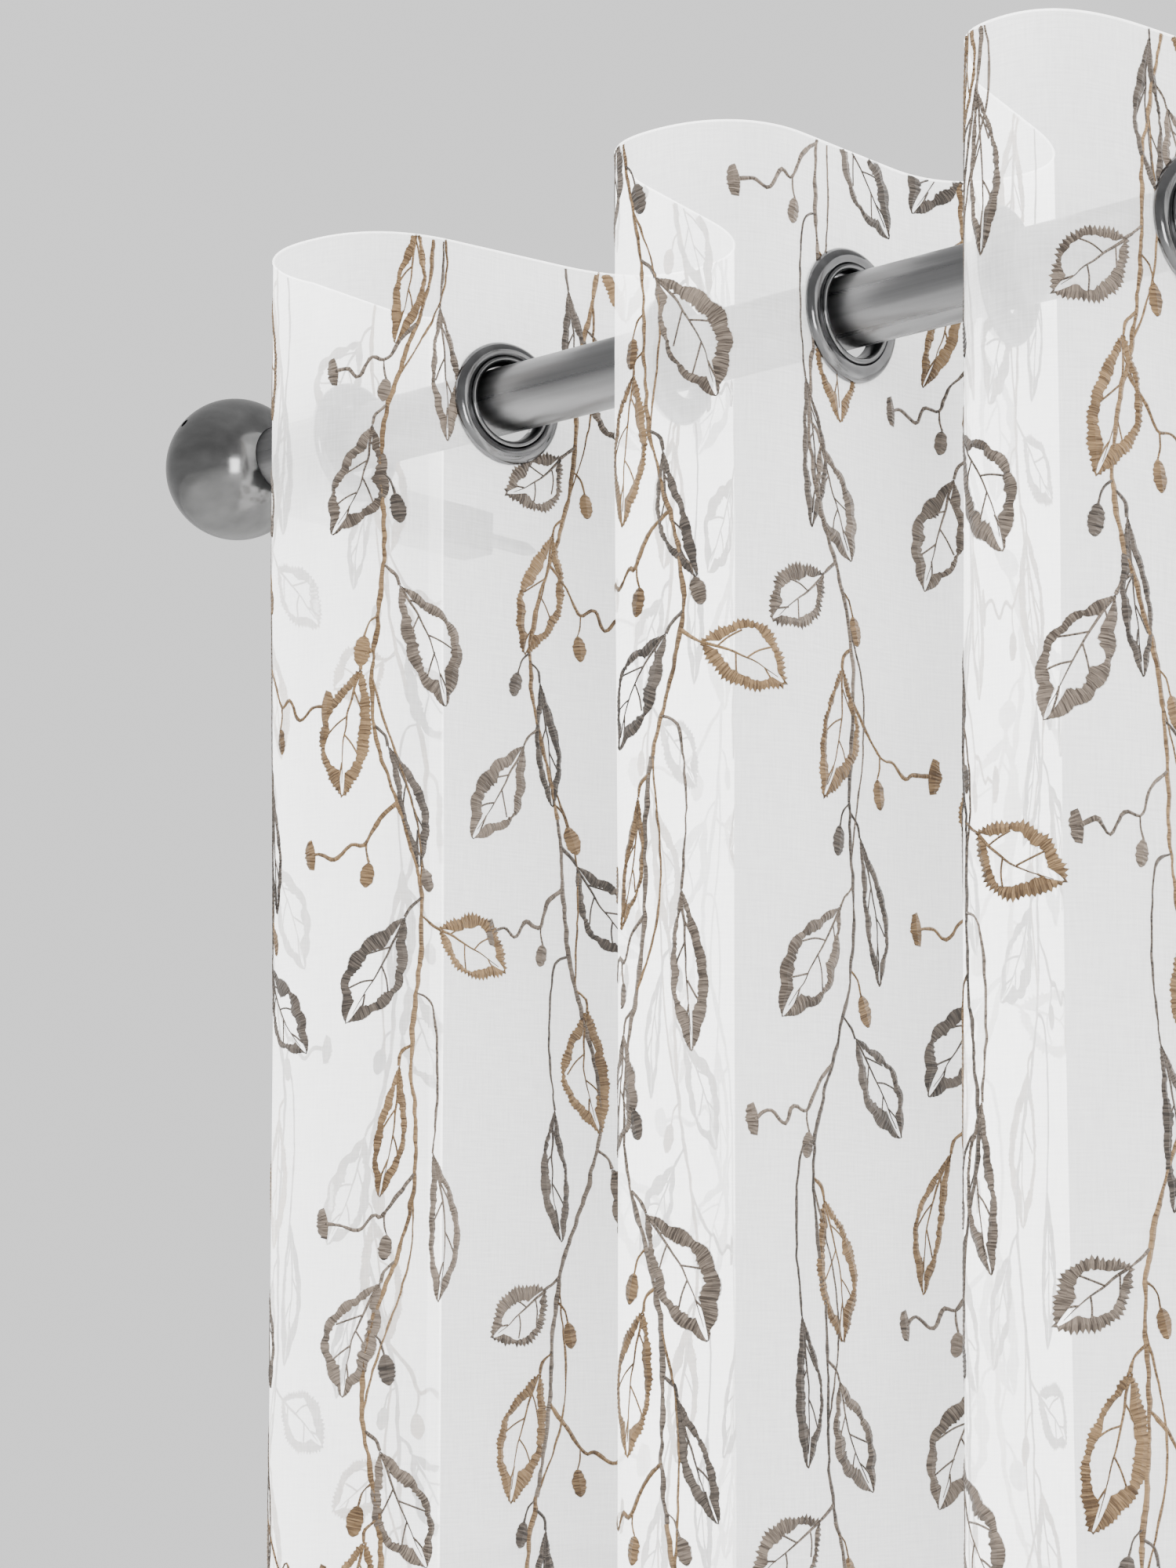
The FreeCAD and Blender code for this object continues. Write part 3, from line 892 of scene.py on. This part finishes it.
def vine(stitching, across, offset, growth, colours, rng):
    """One wandering vine down the whole panel, with its leaves, buds and twigs."""
    phase = rng.random() * ROUND
    sway = rng.uniform(*VINE_SWAY) * MM

    def spot(depth):
        turn = 2 * math.pi * (depth - offset) / REPEAT
        return np.array([across + sway * math.sin(turn + phase) + 5 * MM * math.sin(2.7 * turn + 1.0), depth])

    marks = np.arange(-VINE_OVERRUN, CLOTH_DROP + VINE_OVERRUN, VINE_MARK)
    stretch = len(marks) // VINE_STRETCHES
    for k in range(VINE_STRETCHES):
        a = max(k * stretch - 1, 0)
        b = len(marks) if k == VINE_STRETCHES - 1 else (k + 1) * stretch
        points = [spot(m) for m in marks[a:b]]
        stem(stitching, colours[k % len(colours)], points, rng.uniform(*VINE_WIDTH) * MM, rng)
    # a thinner shoot leaves the vine and comes back to it, now and then
    for a in range(rng.integers(0, 6), len(marks) - SHOOT_MARKS, SHOOT_EVERY):
        bow = []
        for j in range(SHOOT_MARKS):
            bow.append(spot(marks[a + j]) + [SHOOT_BOW * math.sin(math.pi * j / (SHOOT_MARKS - 1)), 0])
        stem(stitching, colours[0], bow, SHOOT_WIDTH, rng)
    start = offset - REPEAT * math.ceil((offset + LEAF_OVERRUN) / REPEAT)
    while start < CLOTH_DROP:
        for share, lean, what, colour, size, angle in growth:
            root = spot(start + share * REPEAT)
            size = size * MM * rng.uniform(0.94, 1.06)
            tilt = lean * math.radians(angle + rng.uniform(-4, 4))
            if what == "twig":
                twig(stitching, colour, root, lean, size, rng)
                continue
            if what == "bud":
                tip = root + turned(lean * 0.8) * 10 * MM + DOWN * 4 * MM
                knee = root + turned(lean * 0.9) * 6 * MM
                line = stem(stitching, colour, [root, knee, tip], BUD_STALK, rng)
                bud(stitching, colour, line[-1], tilt, size, rng)
                continue
            if what == "long":
                knee = root + turned(lean * 0.9) * 12 * MM
                low = knee + DOWN * 66 * MM + turned(tilt) * 8 * MM
                points = [root, knee, (knee + low) / 2 + np.array([lean * 3 * MM, 0]), low]
                line = stem(stitching, colour, points, LONG_STALK, rng)
                leaf(stitching, colour, line[-1], tilt * 0.6, size, "narrow", rng)
                continue
            reach = 8 * MM + 0.07 * size
            knee = root + turned(lean * 0.9) * reach * 0.6
            foot = knee + turned(tilt) * reach * 0.5
            line = stem(stitching, colour, [root, knee, foot], LEAF_STALK, rng)
            leaf(stitching, colour, line[-1], tilt, size, what, rng)
        start += REPEAT


def embroider(panel, seed):
    """All the thread on one panel, in cloth coordinates."""
    rng = np.random.default_rng(seed)
    stitching = Stitching()
    count = math.ceil(panel.width / VINE_SPACING)
    first = (panel.width - (count - 1) * VINE_SPACING) / 2
    for k in range(count):
        growth = VINE_A if k % 2 == 0 else VINE_B
        # neighbouring vines start at different places in their repeat
        offset = (0.37 * k % 1.0) * REPEAT * 0.5 + (k % 2) * 0.21 * REPEAT
        colours = (("gold", "taupe"), ("taupe", "grey"), ("gold", "gold"))[k % 3]
        vine(stitching, first + k * VINE_SPACING, offset, growth, colours, rng)
    return stitching


THREAD_MARGIN = 1 * MM  # thread stops this far inside the cloth's edges, and reaches so far under a ring


def embroidery_pieces(panel, stitching):
    """Cuts the thread at the strips' borders, under the rings and at the edges, and lays it on the cloth."""
    made = {}
    for colour, material in THREADS.items():
        flat = np.concatenate(stitching.points[colour])
        faces = np.concatenate(stitching.faces[colour])
        centre = flat[faces].mean(1)
        inside = np.ones(len(centre), bool)
        for axis, limit in ((0, panel.width), (1, CLOTH_DROP)):
            inside &= (centre[:, axis] > THREAD_MARGIN) & (centre[:, axis] < limit - THREAD_MARGIN)
        for hole in panel.border_across[1:-1]:
            away = np.hypot(centre[:, 0] - hole, centre[:, 1] - RING_DEPTH)
            inside &= away > RING_RADIUS - THREAD_MARGIN
        world, normal = panel.at(np.clip(flat[:, 0], 0, panel.width), np.clip(flat[:, 1], 0, CLOTH_DROP))
        world = world + normal * flat[:, 2:3]
        for name, index, bodies in panel.strips():
            low, high = panel.border_across[index], panel.border_across[index + 1]
            mine = faces[inside & (centre[:, 0] >= low) & (centre[:, 0] < high)]
            if len(mine) == 0:
                continue
            if panel.inward < 0:
                mine = mine[:, ::-1]
            used = np.unique(mine)
            renumber = np.full(len(flat), -1)
            renumber[used] = np.arange(len(used))
            title = f"embroidery_{colour}_{panel.side}_{name}"
            piece = new_piece(title, world[used].tolist(), renumber[mine].tolist(), material)
            piece.data.polygons.foreach_set("use_smooth", [False] * len(piece.data.polygons))
            set_cloth_attribute(piece, flat[used, 0], flat[used, 1], flat[used, 3])
            carry(piece, bodies)
            made.setdefault(name, []).append(piece)
    return made


def hang(side, seed):
    """The cloth and the embroidery of one panel."""
    panel = Panel(side)
    threads = embroidery_pieces(panel, embroider(panel, seed))
    for name, index, bodies in panel.strips():
        piece, flat = strip_piece(panel, name, index)
        carry(piece, bodies)
        if index >= 1:
            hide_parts(f"cloth_pleat_{side}_{index}")


# ---------------------------------------------------------------- floor, lights, camera


def lamp(name, place, target, power, size, mirrored=False):
    """A soft rectangular light that looks at a target, and lights either the matt or the shiny surfaces."""
    light = bpy.data.lights.new(name, "AREA")
    light.shape = "RECTANGLE"
    light.size, light.size_y = size
    light.energy = power
    holder = bpy.data.objects.new(name, light)
    holder.location = place
    holder.visible_glossy = mirrored
    holder.visible_diffuse = not mirrored
    holder.rotation_euler = (Vector(target) - Vector(place)).to_track_quat("-Z", "Y").to_euler()
    bpy.context.scene.collection.objects.link(holder)


FLOOR_GAP = 0.15
FLOOR_REACH = 8.0
FLOOR_DARK, FLOOR_LIGHT = (0.19, 0.19, 0.188), (0.225, 0.225, 0.222)
FLOOR_CLOUDS = (6, 6, 6)  # per metre
WHITE = (1.0, 1.0, 1.0, 1)
SOFT_LIGHT = 4.8
SHINE = 0.85
BACKDROP = 1.17
# height of a direction, from 0 straight down to 1 straight up, and how bright it looks in shiny surfaces
SHINE_BANDS = ((0.0, 0.7), (0.36, 0.9), (0.50, 0.9), (0.60, 0.75), (0.80, 0.65), (1.0, 0.95))


def studio():
    """Pale floor, soft light and an even pale surround."""
    n = Nodes(bpy.data.materials.new("floor"))
    shader = n.add("ShaderNodeBsdfPrincipled", {"Roughness": 0.8})
    grain = n.noise(n.coordinates(FLOOR_CLOUDS), 4.0)
    n.link(n.ramp(grain, FLOOR_DARK, FLOOR_LIGHT), shader.inputs["Base Color"])
    r, z = FLOOR_REACH, CLOTH_TOP - CLOTH_DROP - FLOOR_GAP
    corners = [(-r, -r, z), (r, -r, z), (r, r, z), (-r, r, z)]
    floor = new_piece("floor", corners, [(0, 1, 2, 3)], n.show(shader.outputs[0]))
    surround()
    target = (-0.3, POLE.y, -0.3)
    lamp("window", (1.5, -2.4, -0.45), target, 50, (0.8, 1.2), mirrored=True)
    lamp("key", (2.6, -2.0, 1.5), target, 640, (1.8, 1.8))
    lamp("fill", (-2.9, -2.4, 0.7), target, 250, (1.6, 2.2))
    lamp("behind", (0.9, 3.0, 1.5), target, 1100, (2.6, 2.0))


def surround():
    """Even pale surround for the camera and for soft light, and a banded one for what shiny surfaces show."""
    n = Nodes(bpy.data.worlds.new("studio"), "ShaderNodeOutputWorld")
    path = n.add("ShaderNodeLightPath")
    soft, shine, backdrop = (
        n.add("ShaderNodeBackground", {"Color": WHITE, "Strength": strength})
        for strength in (SOFT_LIGHT, SHINE, BACKDROP)
    )
    axes = n.add("ShaderNodeSeparateXYZ")
    height = n.add("ShaderNodeMapRange", {"From Min": -1.0})
    ramp = n.add("ShaderNodeValToRGB")
    n.link(n.add("ShaderNodeTexCoord").outputs["Generated"], axes.inputs["Vector"])
    n.link(axes.outputs["Z"], height.inputs["Value"])
    n.link(height.outputs["Result"], ramp.inputs["Fac"])
    for k, (at, value) in enumerate(SHINE_BANDS):
        element = ramp.color_ramp.elements[k] if k < 2 else ramp.color_ramp.elements.new(at)
        element.position = at
        element.color = (value, value, value, 1)
    n.link(ramp.outputs["Color"], shine.inputs["Color"])
    light = n.mix(path.outputs["Is Glossy Ray"], soft.outputs[0], shine.outputs[0])
    seen = n.mix(path.outputs["Is Camera Ray"], light, backdrop.outputs[0])
    bpy.context.scene.world = n.show(seen)


# camera: where it stands from the left ball's centre, its turn and rise, its lens and film in millimetres,
# and how far the lens is shifted upwards
CAMERA_FROM_BALL = Vector((1.3164, -1.1816, -0.4692))
CAMERA_TURN = math.radians(41.57)
CAMERA_RISE = math.radians(5.8)
CAMERA_LENS = 72.2
CAMERA_FILM = 36.0
CAMERA_SHIFT = 0.1225


def photographer():
    """The camera that takes the photograph's view."""
    data = bpy.data.cameras.new("camera")
    data.lens = CAMERA_LENS
    data.sensor_width = CAMERA_FILM
    data.shift_y = CAMERA_SHIFT
    camera = bpy.data.objects.new("camera", data)
    camera.location = Vector((-BALL_X, POLE.y, POLE.z)) + CAMERA_FROM_BALL
    camera.rotation_euler = (math.pi / 2 + CAMERA_RISE, 0, CAMERA_TURN)
    bpy.context.scene.collection.objects.link(camera)
    bpy.context.scene.camera = camera


def dress(node, material):
    """A better material on a CAD node that keeps its shape."""
    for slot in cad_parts[node].material_slots:
        slot.material = material


photographer()
studio()
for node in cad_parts:
    if node.startswith(("pole_screws", "wall_studs", "grub")):
        dress(node, SCREW_STEEL)
    elif node.startswith("pole"):
        dress(node, POLE_STEEL)
    elif node.startswith("bracket"):
        dress(node, BAR_STEEL)
    elif node.startswith("finial"):
        dress(node, BALL_STEEL)
    elif node.startswith("eyelet"):
        dress(node, RING_STEEL)
hang("left", seed=11)
hang("right", seed=23)
